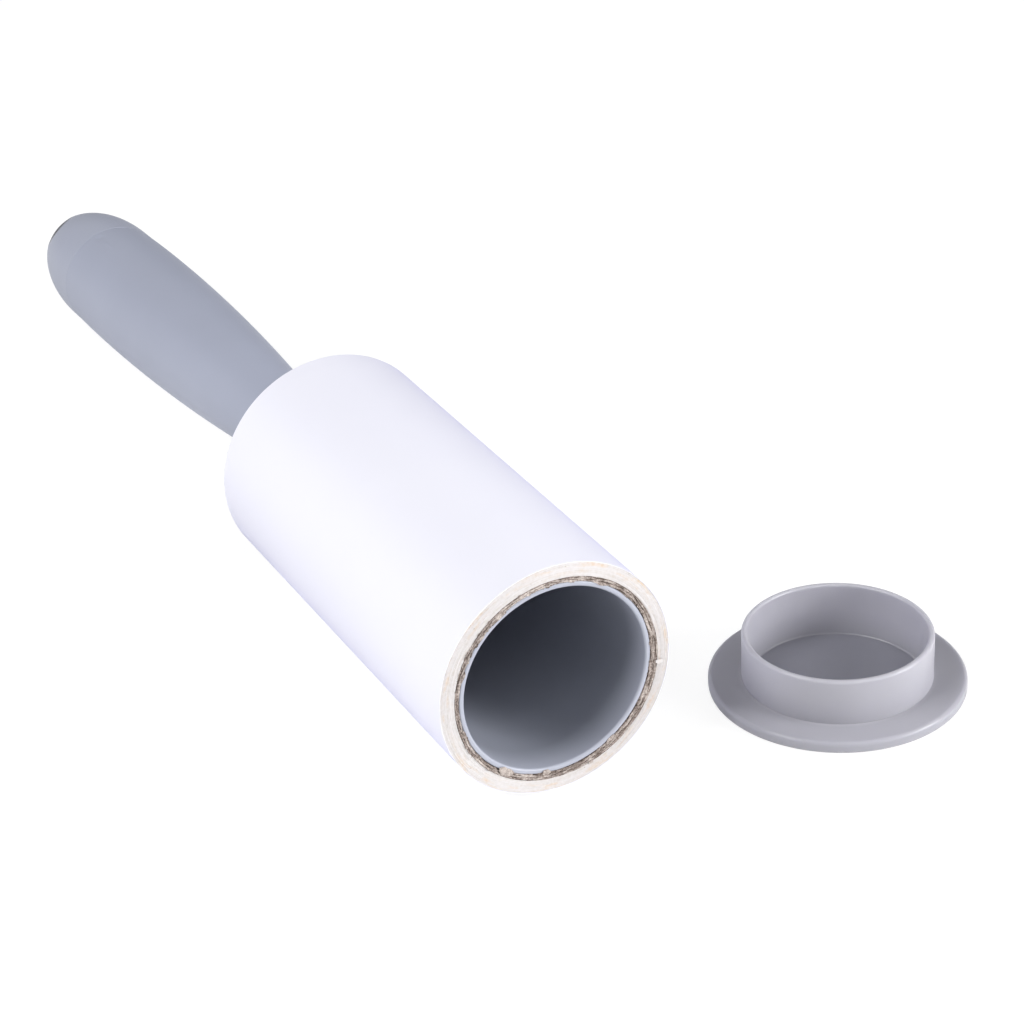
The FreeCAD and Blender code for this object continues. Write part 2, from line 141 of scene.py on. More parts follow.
def mesh_piece(name, grid, place, close_turn=True, close_outline=True, depth=None, weighted=True):
    """A smooth-shaded object from a grid of angles, radii and alongs about an axis."""
    angle, radius, along = grid
    turns, count = angle.shape
    points = np.stack([radius * np.cos(angle), radius * np.sin(angle), along], axis=-1)
    index = np.arange(turns * count).reshape(turns, count)
    across = np.roll(index, -1, axis=1)
    quads = np.stack([index, across, np.roll(across, -1, axis=0), np.roll(index, -1, axis=0)], axis=-1)
    if not close_turn:
        quads = quads[:-1]
    if not close_outline:
        quads = quads[:, :-1]
    faces = quads.reshape(-1, 4).tolist()
    if not close_turn:
        faces += [index[0].tolist(), index[-1][::-1].tolist()]
    mesh = bpy.data.meshes.new(name)
    mesh.from_pydata(points.reshape(-1, 3).tolist(), [], faces)
    if depth is not None:
        mesh.attributes.new("depth", "FLOAT", "POINT").data.foreach_set("value", depth.ravel())
    return finish_mesh(name, mesh, place, weighted)


def finish_mesh(name, mesh, place, weighted=True):
    """Clean a new mesh, keep its hard edges sharp and shade the rest smooth."""
    tidy = bmesh.new()
    tidy.from_mesh(mesh)
    bmesh.ops.remove_doubles(tidy, verts=tidy.verts, dist=1e-7)
    bmesh.ops.recalc_face_normals(tidy, faces=tidy.faces)
    for face in tidy.faces:
        face.smooth = True
    for edge in tidy.edges:
        edge.smooth = len(edge.link_faces) == 2 and edge.calc_face_angle() < SHARP
    tidy.to_mesh(mesh)
    tidy.free()
    mesh.transform(place)
    piece = bpy.data.objects.new(name, mesh)
    bpy.context.scene.collection.objects.link(piece)
    if weighted:
        weigh_normals(piece)
    return piece


def weigh_normals(piece):
    """Let the large faces beside a round keep their own normals."""
    weights = piece.modifiers.new("weights", "WEIGHTED_NORMAL")
    weights.keep_sharp = True
    weights.weight = 90


def lathe(name, corners, place, turns=192, closed=True, steps=7):
    """A turned piece from an outline of (radius, along, round) corners."""
    outline = rounded(corners, closed, steps)
    return mesh_piece(name, turned_grid(outline, turns), place, close_outline=closed)


# Seeded noise, periodic round the axis

def value_noise(round_share, across, cells_round, cell_across, seed):
    """Smooth noise from -1 to 1. round_share runs from 0 to 1 once round the axis."""
    draw = np.random.RandomState(seed)
    rows = 64
    table = draw.uniform(-1, 1, (cells_round, rows))
    u = (round_share % 1.0) * cells_round
    v = across / cell_across
    iu, iv = np.floor(u).astype(int), np.floor(v).astype(int)
    fu, fv = u - iu, v - iv
    fu, fv = fu * fu * (3 - 2 * fu), fv * fv * (3 - 2 * fv)
    near = table[iu % cells_round, iv % rows] * (1 - fu) + table[(iu + 1) % cells_round, iv % rows] * fu
    iv = iv + 1
    far = table[iu % cells_round, iv % rows] * (1 - fu) + table[(iu + 1) % cells_round, iv % rows] * fu
    return near * (1 - fv) + far * fv


def layered_noise(round_share, across, cells_round, cell_across, seed, octaves=3):
    """Noise with ever finer and weaker layers on top."""
    total = 0.0
    weight = 1.0
    for octave in range(octaves):
        scale = 2 ** octave
        total = total + weight * value_noise(
            round_share, across, cells_round * scale, cell_across / scale, seed + octave)
        weight *= 0.5
    return total


# Materials

class Shader:
    """A material's node tree, with short calls that add nodes and wire them."""

    def __init__(self, name):
        self.material = bpy.data.materials.new(name)
        self.material.use_nodes = True
        self.tree = self.material.node_tree
        self.surface = self.tree.nodes["Principled BSDF"]
        self.place = self.add("ShaderNodeTexCoord").outputs["Object"]

    def add(self, kind, **settings):
        node = self.tree.nodes.new(kind)
        for key, value in settings.items():
            setattr(node, key, value)
        return node

    def wire(self, socket, value):
        if isinstance(value, bpy.types.NodeSocket):
            self.tree.links.new(value, socket)
        else:
            socket.default_value = value

    def set(self, **values):
        """Set or wire inputs of the surface: names with _ for spaces."""
        for key, value in values.items():
            self.wire(self.surface.inputs[key.replace("_", " ")], value)

    def math(self, operation, *values):
        node = self.add("ShaderNodeMath", operation=operation)
        for socket, value in zip(node.inputs, values):
            self.wire(socket, value)
        return node.outputs[0]

    def noise(self, scale, detail, vector=None):
        node = self.add("ShaderNodeTexNoise")
        self.wire(node.inputs["Vector"], vector or self.place)
        node.inputs["Scale"].default_value = scale
        node.inputs["Detail"].default_value = detail
        return node.outputs["Fac"]

    def ramp(self, factor, stops):
        """A colour from (position, colour) stops."""
        node = self.add("ShaderNodeValToRGB")
        elements = node.color_ramp.elements
        while len(elements) < len(stops):
            elements.new(0.5)
        for element, (position, colour) in zip(elements, stops):
            element.position = position
            element.color = (*colour, 1.0)
        self.wire(node.inputs["Fac"], factor)
        return node.outputs["Color"]

    def mix(self, factor, first, second):
        """From the first colour to the second, each a socket or three numbers."""
        node = self.add("ShaderNodeMix", data_type="RGBA")
        self.wire(node.inputs[0], factor)
        for socket, colour in zip(node.inputs[6:8], (first, second)):
            self.wire(socket, colour if isinstance(colour, bpy.types.NodeSocket) else (*colour, 1.0))
        return node.outputs[2]

    def span(self, value, low, high, to_low=0.0, to_high=1.0):
        """Map low..high to to_low..to_high, clamped."""
        node = self.add("ShaderNodeMapRange")
        for socket, number in zip(node.inputs, (value, low, high, to_low, to_high)):
            self.wire(socket, number)
        return node.outputs[0]

    def bump(self, height, distance):
        node = self.add("ShaderNodeBump")
        node.inputs["Distance"].default_value = distance
        node.inputs["Strength"].default_value = 1.0
        self.wire(node.inputs["Height"], height)
        self.set(Normal=node.outputs["Normal"])

    def coordinates(self):
        """The X, Y and Z sockets of the place on the object."""
        parts = self.add("ShaderNodeSeparateXYZ")
        self.wire(parts.inputs[0], self.place)
        return parts.outputs

    def around_axis(self, round_scale, radial_scale):
        """A vector that follows rings about the barrel's axis, and the radius from that axis."""
        x, _, z = self.coordinates()
        squares = self.math("MULTIPLY", x, x), self.math("MULTIPLY", z, z)
        radius = self.math("SQRT", self.math("ADD", *squares))
        joined = self.add("ShaderNodeCombineXYZ")
        self.wire(joined.inputs[0], self.math("MULTIPLY", self.math("DIVIDE", x, radius), round_scale))
        self.wire(joined.inputs[1], self.math("MULTIPLY", self.math("DIVIDE", z, radius), round_scale))
        self.wire(joined.inputs[2], self.math("MULTIPLY", radius, radial_scale))
        return joined.outputs[0], radius

    def from_ends(self):
        """Distance from the nearer cut end of the refill."""
        along = self.coordinates()["Y"]
        return self.math("MINIMUM", along, self.math("SUBTRACT", TUBE_LENGTH, along))

    def from_line(self, point, direction):
        """Distance from a line through a point."""
        offset = self.add("ShaderNodeVectorMath", operation="SUBTRACT")
        self.wire(offset.inputs[0], self.place)
        offset.inputs[1].default_value = point
        across = self.add("ShaderNodeVectorMath", operation="CROSS_PRODUCT")
        self.wire(across.inputs[0], offset.outputs["Vector"])
        across.inputs[1].default_value = direction
        length = self.add("ShaderNodeVectorMath", operation="LENGTH")
        self.wire(length.inputs[0], across.outputs["Vector"])
        return length.outputs["Value"]


def moulded_plastic(name, colour, roughness, grain, grain_depth, soft=0.0,
                    painted_rim_light=None, painted_floor_shade=None, painted_hole_shade=None):
    """Injection-moulded plastic: slow drifts of tone and gloss over a fine skin texture.

    Near the barrel's mouth a paler tone is painted light, for the light that shines through the
    thin rim. Inside the cap the thin floor, and its flange a little, are darkened as painted
    shade. Round the mouth of the hanging hole the plastic is darkened as painted shade.
    """
    shader = Shader(name)
    darker = tuple(part * 0.975 for part in colour)
    lighter = tuple(part * 1.025 for part in colour)
    skin = shader.ramp(shader.noise(45, 3), [(0.2, darker), (0.8, lighter)])
    # Painted light: a paler tone from the mouth edge to 7 mm into the bore, for the light that shines
    # through the thin rim.
    if painted_rim_light:
        near_mouth = shader.span(shader.coordinates()["Y"], 0.3 * MM, 7 * MM, 1.0, 0.0)
        skin = shader.mix(near_mouth, skin, painted_rim_light)
    # Painted shade: the floor inside the cap is darkened where its skirt shades it, and the flange outside
    # the skirt a little.
    if painted_floor_shade:
        radius = shader.from_line(CAP_CENTRE, (0, 0, 1))
        skirt = MOUNTS["cap_skirt"]["dims"]["r_mm"] * MM
        inside = shader.span(radius, CAP_BORE - 0.35 * MM, CAP_BORE + 0.15 * MM, 1.0, 0.0)
        outside = shader.span(radius, skirt + 0.1 * MM, skirt + 0.9 * MM, 0.0, 0.24)
        skin = shader.mix(shader.math("MAXIMUM", inside, outside), skin, painted_floor_shade)
    # Painted shade: the plastic round the hanging hole's mouth is darkened for the shade inside the hole.
    if painted_hole_shade:
        hole = MOUNTS["hanging_hole"]
        from_axis = shader.from_line(hole["pos_m"], hole["axis"])
        radius = hole["dims"]["r_mm"] * MM
        hole_shade = shader.span(from_axis, radius + 0.5 * MM, radius + 2.0 * MM, 1.0, 0.0)
        skin = shader.mix(hole_shade, skin, painted_hole_shade)
    shader.set(Base_Color=skin)
    shader.set(Roughness=shader.span(shader.noise(70, 2), 0.2, 0.8, roughness - 0.03, roughness + 0.03))
    shader.set(IOR=1.49)
    shader.bump(shader.noise(grain, 3), grain_depth)
    if soft:
        shader.set(Subsurface_Weight=soft, Subsurface_Radius=(1.0, 1.0, 1.1), Subsurface_Scale=3.0 * MM)
    return shader.material


def release_paper():
    """The outer face of the sheets: smooth bluish white paper with a tacky sheen."""
    shader = Shader("sheet_face")
    drift = shader.noise(38, 3)
    shader.set(Base_Color=shader.ramp(drift, [(0.25, (0.930, 0.928, 0.993)), (0.75, (0.946, 0.944, 1.0))]))
    shader.set(Roughness=shader.span(shader.noise(220, 4), 0.3, 0.7, 0.42, 0.50))
    shader.bump(shader.noise(420, 5), 0.010 * MM)
    # Painted shade: a grey-blue tinted coat that reflects almost nothing, darkening the roll most where it
    # turns away, at its limbs.
    shader.set(Coat_Weight=1.0, Coat_IOR=1.005, Coat_Roughness=0.5, Coat_Tint=(0.976, 0.976, 0.993, 1.0))
    return shader.material


def paper_edges():
    """The cut ends of the wound sheets: cream, ringed, stained with adhesive in their outer part."""
    shader = Shader("sheet_edges")
    rings, radius = shader.around_axis(round_scale=1.2, radial_scale=5200)
    ring_tone = shader.ramp(shader.noise(1.0, 5, rings), [
        (0.28, (0.63, 0.59, 0.56)), (0.46, (0.69, 0.655, 0.64)), (0.66, (0.73, 0.70, 0.70))])
    patches, _ = shader.around_axis(round_scale=5.0, radial_scale=1100)
    stain = shader.span(shader.noise(1.0, 5, patches), 0.50, 0.75)
    outwards = shader.span(radius, STAIN_INNER, STAIN_OUTER, 0.2, 1.0)
    stained = shader.mix(shader.math("MULTIPLY", stain, outwards), ring_tone, (0.71, 0.54, 0.38))
    mottle = shader.span(shader.noise(1500, 3), 0.36, 0.64, 0.0, 0.55)
    mottled = shader.mix(mottle, stained, (0.78, 0.755, 0.765))
    specks = shader.span(shader.noise(1250, 2), 0.73, 0.78, 0.0, 0.8)
    cut = shader.mix(specks, mottled, (0.20, 0.14, 0.09))
    next_sheet = shader.span(shader.from_ends(), 0.25 * MM, 0.35 * MM)
    shader.set(Base_Color=shader.mix(next_sheet, cut, (0.86, 0.858, 0.95)))
    shader.set(Roughness=0.85)
    shader.bump(shader.noise(1.0, 4, rings), 0.025 * MM)
    return shader.material


def torn_board():
    """Grey-brown cardboard of random tone, painted darker as shade where its plies part and the cut end sits
    low, and paler where it stands high, partly its raised fibres' own paler tone and partly painted light.
    """
    shader = Shader("board")
    # On the cut end the depth attribute is how high it stands: low parts are painted darker as shade and
    # high parts paler as painted light. On the flakes it is a random tone for each.
    depth = shader.add("ShaderNodeAttribute", attribute_name="depth").outputs["Fac"]
    fibres, radius = shader.around_axis(round_scale=56.0, radial_scale=2600)
    fine = shader.noise(1.0, 5, fibres)
    tone = shader.math("ADD", shader.math("MULTIPLY", fine, 0.55), shader.math("MULTIPLY", depth, 0.45))
    board = shader.ramp(tone, [
        (0.22, (0.045, 0.032, 0.025)), (0.38, (0.200, 0.156, 0.134)),
        (0.52, (0.370, 0.310, 0.280)), (0.72, (0.69, 0.615, 0.57))])
    from_glue = shader.math("ABSOLUTE", shader.math("SUBTRACT", radius, GLUE_LINE))
    glue = shader.span(from_glue, 0.02 * MM, 0.12 * MM, 0.75, 0.0)
    cut = shader.mix(glue, board, (0.10, 0.07, 0.055))
    liner = shader.ramp(shader.noise(700, 5), [(0.35, (0.33, 0.265, 0.215)), (0.65, (0.42, 0.345, 0.285))])
    shader.set(Base_Color=shader.mix(shader.span(shader.from_ends(), 0.5 * MM, 1.0 * MM), cut, liner))
    shader.set(Roughness=0.95)
    shader.bump(shader.noise(2600, 4), 0.06 * MM)
    return shader.material


def turned_steel():
    """Bright steel with the fine rings that the lathe leaves."""
    shader = Shader("turned_steel")
    rings, _ = shader.around_axis(round_scale=0.4, radial_scale=9000)
    lines = shader.noise(1.0, 3, rings)
    shader.set(Base_Color=shader.ramp(lines, [(0.3, (0.50, 0.51, 0.52)), (0.7, (0.62, 0.63, 0.64))]))
    shader.set(Metallic=1.0)
    shader.set(Roughness=shader.span(lines, 0.3, 0.7, 0.24, 0.36))
    shader.bump(lines, 0.01 * MM)
    return shader.material


MATERIALS = {
    "grip": moulded_plastic(
        "grip_skin", (0.383, 0.408, 0.507), roughness=0.46, grain=2400, grain_depth=0.006 * MM),
    "handle": moulded_plastic(
        "handle_skin", (0.396, 0.419, 0.513), roughness=0.42, grain=2400, grain_depth=0.005 * MM),
    "tail": moulded_plastic(
        "tail_skin", (0.396, 0.419, 0.513), roughness=0.42, grain=2400, grain_depth=0.005 * MM,
        # The hanging hole's mouth is darkened as painted shade.
        painted_hole_shade=(0.115, 0.115, 0.125)),
    "barrel": moulded_plastic(
        "barrel_skin", (0.297, 0.3135, 0.3685), roughness=0.32, grain=1500, grain_depth=0.002 * MM,
        # Its paler mouth is painted light.
        painted_rim_light=(0.45, 0.47, 0.55)),
    "cap": moulded_plastic(
        "cap_skin", (0.446, 0.441, 0.485), roughness=0.33, grain=1500, grain_depth=0.002 * MM,
        # The cap's floor and flange are darkened as painted shade.
        soft=0.6, painted_floor_shade=(0.232, 0.232, 0.270)),
    "bush": moulded_plastic(
        "bush_skin", (0.78, 0.78, 0.75), roughness=0.45, grain=1800, grain_depth=0.003 * MM),
    "paper": release_paper(),
    "edges": paper_edges(),
    "board": torn_board(),
    "steel": turned_steel(),
}


def dress(piece, body, material, slot, *nodes):
    """Give a piece its material, tie it to its body and hide the CAD nodes that it stands for. Its slot is
    not used.
    """
    piece.data.materials.append(MATERIALS[material])
    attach(piece, body)
    if nodes:
        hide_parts(*nodes)
    return piece


# Barrel and what it runs on

def make_barrel():
    """Thin tube with a rounded mouth rim and the step that the hubs are pushed up to."""
    seat = MOUTH_RADIUS - SEAT_STEP
    corners = [
        (MOUTH_RADIUS, 0, 0.45 * MM), (TUBE_RADIUS, 0, 0.30 * MM),
        (TUBE_RADIUS, TUBE_LENGTH, 0.1 * MM), (seat, TUBE_LENGTH, 0.1 * MM),
        (seat, MOUTH_DEPTH, 0.05 * MM), (MOUTH_RADIUS, MOUTH_DEPTH, 0.05 * MM),
    ]
    tube = lathe("barrel_tube", corners, ALONG_BARREL, turns=320)
    dress(tube, "barrel", "barrel", "barrel_plastic", "roller_barrel")


def span_of(node):
    """Front end, back end and outside radius of a CAD node that is turned about the barrel's axis."""
    low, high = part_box(node)
    return low.y, high.y, high.x


def make_rear_hub():
    """Back of the barrel: a flange behind the refill, a rim inside the tube and a bearing boss."""
    front, back, flange = span_of("rear_hub")
    rim = MOUTH_RADIUS - SEAT_STEP - FIT_GAP
    rim_front = TUBE_LENGTH - 10 * MM
    step = TUBE_LENGTH + FIT_GAP
    bore = BUSH_RADIUS + FIT_GAP
    # A shallow ring sunk into the flange's back, its walls leaning a little.
    ring_inner = 9.0 * MM
    ring_outer = 15.5 * MM
    lean = 0.4 * MM
    ring_floor = back - 0.5 * MM
    corners = [
        (bore, front, 0.3 * MM), (BOSS_RADIUS, front, 0.5 * MM), (BOSS_RADIUS, step, 0.8 * MM),
        (rim - HUB_WALL, step, 0.8 * MM), (rim - HUB_WALL, rim_front, 0.4 * MM),
        (rim, rim_front, 0.5 * MM), (rim, step, 0), (flange, step, 0.4 * MM),
        (flange, back, 0.6 * MM), (ring_outer, back, 0.4 * MM),
        (ring_outer - lean, ring_floor, 0.4 * MM), (ring_inner + lean, ring_floor, 0.4 * MM),
        (ring_inner, back, 0.4 * MM), (bore, back, 0.3 * MM)]
    hub = lathe("hub_rear", corners, ALONG_BARREL, turns=256, steps=5)
    dress(hub, "barrel", "barrel", "barrel_plastic", "rear_hub")


def cut_out(piece, cutter):
    """Take one mesh out of another for good."""
    boolean = piece.modifiers.new("cut", "BOOLEAN")
    boolean.object = cutter
    boolean.solver = "EXACT"
    bpy.context.view_layer.update()
    shape = piece.evaluated_get(bpy.context.evaluated_depsgraph_get())
    mesh = bpy.data.meshes.new_from_object(shape)
    piece.modifiers.clear()
    piece.data = mesh
    bpy.data.objects.remove(cutter)


def make_front_hub():
    """Bearing web inside the barrel, lightened by four windows with softened edges."""
    front, back, rim = span_of("front_hub")
    web = 2 * MM
    web_back = front + web
    rim_back = front + 8 * MM
    bore = BUSH_RADIUS + FIT_GAP
    inside = rim - HUB_WALL
    corners = [
        (bore, front, 0.25 * MM), (rim, front, 0.4 * MM), (rim, rim_back, 0.4 * MM),
        (inside, rim_back, 0.4 * MM), (inside, web_back, 0.8 * MM),
        (BOSS_RADIUS, web_back, 0.8 * MM), (BOSS_RADIUS, back, 0.5 * MM), (bore, back, 0.3 * MM)]
    outline = rounded(corners, steps=5)
    hub = mesh_piece("hub_front", turned_grid(outline, 256), ALONG_BARREL, weighted=False)
    window = 3.4 * MM
    flare = 0.35 * MM
    past = 1 * MM
    flared = window + past + flare
    profile = [(0, -past, 0), (flared, -past, 0), (window, flare, 0.3 * MM),
               (window, web - flare, 0.3 * MM), (flared, web + past, 0), (0, web + past, 0)]
    ring = 11.8 * MM
    for quarter in range(4):
        turn = quarter * TURN / 4
        middle = (ring * math.cos(turn), front, -ring * math.sin(turn))
        place = Matrix.Translation(middle) @ ALONG_BARREL
        cut_out(hub, lathe("window", profile, place, turns=72, closed=False))
    weigh_normals(hub)
    dress(hub, "barrel", "barrel", "barrel_plastic", "front_hub")


def make_bush(name, node, flange_first):
    """Plain bush whose flange is at its front or at its back."""
    front, back, flange = span_of(node)
    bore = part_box("axle")[1].x + RUN_GAP
    edge = 0.2 * MM
    if flange_first:
        step = front + BUSH_FLANGE
        corners = [(bore, front, edge), (flange, front, edge), (flange, step, edge),
                   (BUSH_RADIUS, step, 0), (BUSH_RADIUS, back, edge), (bore, back, edge)]
    else:
        step = back - BUSH_FLANGE
        corners = [(bore, front, edge), (BUSH_RADIUS, front, edge), (BUSH_RADIUS, step, 0),
                   (flange, step, edge), (flange, back, edge), (bore, back, edge)]
    bush = lathe(name, corners, ALONG_BARREL, turns=128, steps=4)
    dress(bush, "barrel", "bush", "bush_plastic", node)


def make_washer(name, node, material, slot):
    """Flat ring, its edges softened by tumbling."""
    front, back, outside = span_of(node)
    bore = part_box("axle")[1].x + FIT_GAP
    edge = 0.14 * MM
    corners = [(bore, front, edge), (outside, front, edge), (outside, back, edge), (bore, back, edge)]
    washer = lathe(name, corners, ALONG_BARREL, turns=128, steps=4)
    dress(washer, "handle", material, slot, node)


def make_clip():
    """Open ring in the axle's groove. Its mouth, upwards, has parallel sides."""
    front, back, outside = span_of("axle_clip")
    inside = AXLE_GROOVE + FIT_GAP
    half_mouth = 1.8 * MM
    edge = 0.12 * MM
    outline = rounded([(inside, front, edge), (outside, front, edge),
                       (outside, back, edge), (inside, back, edge)], steps=4)
    share, radius, along = turned_grid(outline, 120, sweep=1.0)
    spread = np.arcsin(half_mouth / radius)
    angle = -TURN / 4 + spread + share * (TURN - 2 * spread)
    clip = mesh_piece("clip_ring", (angle, radius, along), ALONG_BARREL, close_turn=False)
    dress(clip, "handle", "steel", "steel", "axle_clip")


def make_axle():
    """Turned rod with chamfered ends and the groove that the clip snaps into."""
    front, back, radius = span_of("axle")
    groove_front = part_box("axle_clip")[0].y - FIT_GAP
    groove_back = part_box("axle_clip")[1].y + FIT_GAP
    chamfer = 0.5 * MM
    soft = 0.12 * MM
    corners = [
        (0, front, 0), (radius - chamfer, front, soft), (radius, front + chamfer, soft),
        (radius, groove_front, 0.06 * MM), (AXLE_GROOVE, groove_front, 0.06 * MM),
        (AXLE_GROOVE, groove_back, 0.06 * MM), (radius, groove_back, 0.06 * MM),
        (radius, back - chamfer, soft), (radius - chamfer, back, soft), (0, back, 0)]
    axle = lathe("axle_rod", corners, ALONG_BARREL, turns=128, closed=False, steps=4)
    dress(axle, "handle", "steel", "steel", "axle")


def make_running_gear():
    """Hubs, bushes, washers, clip and axle."""
    make_rear_hub()
    make_front_hub()
    make_bush("bush_rear", "rear_bush", flange_first=False)
    make_bush("bush_front", "front_bush", flange_first=True)
    make_washer("washer_thrust", "thrust_washer", "bush", "bush_plastic")
    make_washer("washer_end", "end_washer", "steel", "steel")
    make_clip()
    make_axle()


# Refill

def smooth_step(value, low, high):
    """0 below low, 1 above high and a smooth rise between them."""
    share = np.clip((value - low) / (high - low), 0, 1)
    return share * share * (3 - 2 * share)


def pushed_edge(angle, along, nominal):
    """Where the cardboard meets the sheets: an oval edge at the mouth, round further in."""
    oval = OVAL_LEAST + OVAL_PUSH * (0.5 + 0.5 * np.cos(angle - OVAL_TOWARDS)) ** 2
    return nominal + (oval - nominal) * (1 - smooth_step(along, 0.5 * MM, OVAL_DEPTH))


def make_sheets():
    """The wound stack, whose layers end a little unevenly, and the top sheet over it."""
    low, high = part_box("sheet_roll")
    outer = high.z
    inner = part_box("cardboard_core")[1].z + FIT_GAP
    layers = 22
    rings_per_layer = 3
    radii = np.linspace(inner, outer, layers * rings_per_layer + 1)
    outline = [(radius, 0.0) for radius in radii] + [(outer, high.y), (inner, high.y)]
    outline += [(inner, depth) for depth in np.linspace(OVAL_DEPTH, 0.3 * MM, 9)]
    angle, radius, along = turned_grid(np.array(outline), turns=900)
    share = angle / TURN
    layer = (radius - inner) / (outer - inner) * layers
    uneven = value_noise(share, np.floor(layer) * 3.7, 14, 1.0, 11)
    wander = layered_noise(share, radius, 60, 0.5 * MM, 12)
    groove = np.where(np.abs(layer - np.round(layer)) < 0.2, 1.0, 0.0)
    front = along < 1e-6
    lift = 0.035 * MM * uneven + 0.02 * MM * wander + 0.03 * MM * groove
    squeeze = (outer - pushed_edge(angle, along, inner) - FIT_GAP) / (outer - inner)
    radius = outer - (outer - radius) * squeeze
    along = np.where(front, 0.06 * MM + lift, along)
    stack = mesh_piece("sheet_stack", (angle, radius, along), ALONG_BARREL)
    dress(stack, "refill", "edges", "sheet_layers", "sheet_roll")

    top_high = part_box("outer_sheet")[1]
    skin = outer + FIT_GAP
    corners = [
        (skin, 0, 0.03 * MM), (top_high.z, 0, 0.05 * MM),
        (top_high.z, top_high.y, 0.05 * MM), (skin, top_high.y, 0.03 * MM)]
    outline = rounded(corners, steps=3)
    # It stops short of a full turn, where its free edge lies.
    grid = turned_grid(outline, turns=420, sweep=math.radians(357))
    top = mesh_piece("top_sheet", grid, ALONG_BARREL, close_turn=False)
    dress(top, "refill", "paper", "sheet_paper", "outer_sheet")


def make_core():
    """Cardboard tube with a rough cut end: plies part, the inner edge is ragged."""
    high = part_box("cardboard_core")[1]
    inner = TUBE_RADIUS + RUN_GAP
    outer = high.z
    radii = np.linspace(inner, outer, 30)
    outline = [(radius, 0.0) for radius in radii]
    outline += [(outer, depth) for depth in np.linspace(0.4 * MM, OVAL_DEPTH, 9)]
    outline += [(outer, high.y), (inner, high.y)]
    angle, radius, along = turned_grid(np.array(outline), turns=1100)
    share = angle / TURN
    front = along < 1e-6
    across = (radius - inner) / (outer - inner)
    radius = inner + across * (pushed_edge(angle, along, outer) - inner)
    coarse = layered_noise(share, radius, 70, 0.5 * MM, 21, 3)
    fine = layered_noise(share, radius, 420, 0.09 * MM, 25, 2)
    ply = across * 2 + 0.35 * layered_noise(share, radius, 40, 2 * MM, 31, 2)
    open_ply = 0.5 + 0.5 * layered_noise(share, radius, 90, 1 * MM, 35, 2)
    gap = np.exp(-((ply - np.round(ply)) / 0.14) ** 2) * open_ply
    # How high the cut end stands. The board material also paints it by this: darker as painted shade where
    # plies part and it sits low, paler as painted light where it stands high.
    depth = 0.55 + 0.3 * coarse + 0.25 * fine - 0.9 * np.clip(gap, 0, 1)
    height = 0.20 * MM * (depth - 0.5)
    along = np.where(front, -height, along)
    ragged = np.clip(layered_noise(share, radius * 0, 95, 1 * MM, 41, 4), 0, 1) * 0.30 * MM
    pull = np.where(front, np.exp(-across * 9) * ragged, 0)
    along = along - pull * 0.6
    radius = radius - np.where(along < -0.02 * MM, pull, 0)
    core = mesh_piece("core_tube", (angle, radius, along), ALONG_BARREL,
                      depth=np.where(front, np.clip(depth, 0, 1), 0.5).astype(np.float32))
    dress(core, "refill", "board", "cardboard", "cardboard_core")


def flake(draw, turn, radius, length, width, thick, lift, slant=0.0):
    """Points and faces of a small torn plate on the cut end: closed, curled up, with a ragged edge.

    Its middle is at an angle and a radius, and it is slanted by so much radius for its length.
    """
    rows, columns = 8, 5
    u, v = np.meshgrid(np.linspace(-1, 1, rows), np.linspace(-1, 1, columns), indexing="ij")
    tear = draw.uniform(-0.16, 0.16, u.shape) * (np.maximum(abs(u), abs(v)) > 0.9)
    narrow = np.clip(1.1 - u ** 4, 0.3, 1)
    at_radius = radius + width / 2 * (v + tear) * narrow + slant * u * length / 2
    at_turn = turn + length / 2 * (u + tear) / radius
    top = -lift * (0.45 + 0.55 * u ** 2) - thick * (1 - 0.5 * v ** 2)
    points = []
    for along in (top, top + thick):
        points += np.stack([at_radius * np.cos(at_turn), at_radius * np.sin(at_turn), along],
                           axis=-1).reshape(-1, 3).tolist()
    index = np.arange(2 * rows * columns).reshape(2, rows, columns)
    faces = []
    for row in range(rows - 1):
        for column in range(columns - 1):
            corners = [(row, column), (row + 1, column), (row + 1, column + 1), (row, column + 1)]
            faces.append([int(index[(0, *corner)]) for corner in corners])
            faces.append([int(index[(1, *corner)]) for corner in reversed(corners)])
    rim = [(row, 0) for row in range(rows)] + [(rows - 1, column) for column in range(1, columns)]
    rim += [(row, columns - 1) for row in range(rows - 2, -1, -1)]
    rim += [(0, column) for column in range(columns - 2, 0, -1)]
    for here, there in zip(rim, rim[1:] + rim[:1]):
        faces.append([int(index[(0, *there)]), int(index[(0, *here)]),
                      int(index[(1, *here)]), int(index[(1, *there)])])
    return points, faces


def flake_piece(name, flakes, depth):
    """One object of many flakes, each with its own depth of tone."""
    points, faces, shades = [], [], []
    for (new_points, new_faces), shade in zip(flakes, depth):
        base = len(points)
        points += new_points
        faces += [[base + corner for corner in face] for face in new_faces]
        shades += [shade] * len(new_points)
    mesh = bpy.data.meshes.new(name)
    mesh.from_pydata(points, [], faces)
    mesh.attributes.new("depth", "FLOAT", "POINT").data.foreach_set("value", np.array(shades, np.float32))
    return finish_mesh(name, mesh, ALONG_BARREL, weighted=False)


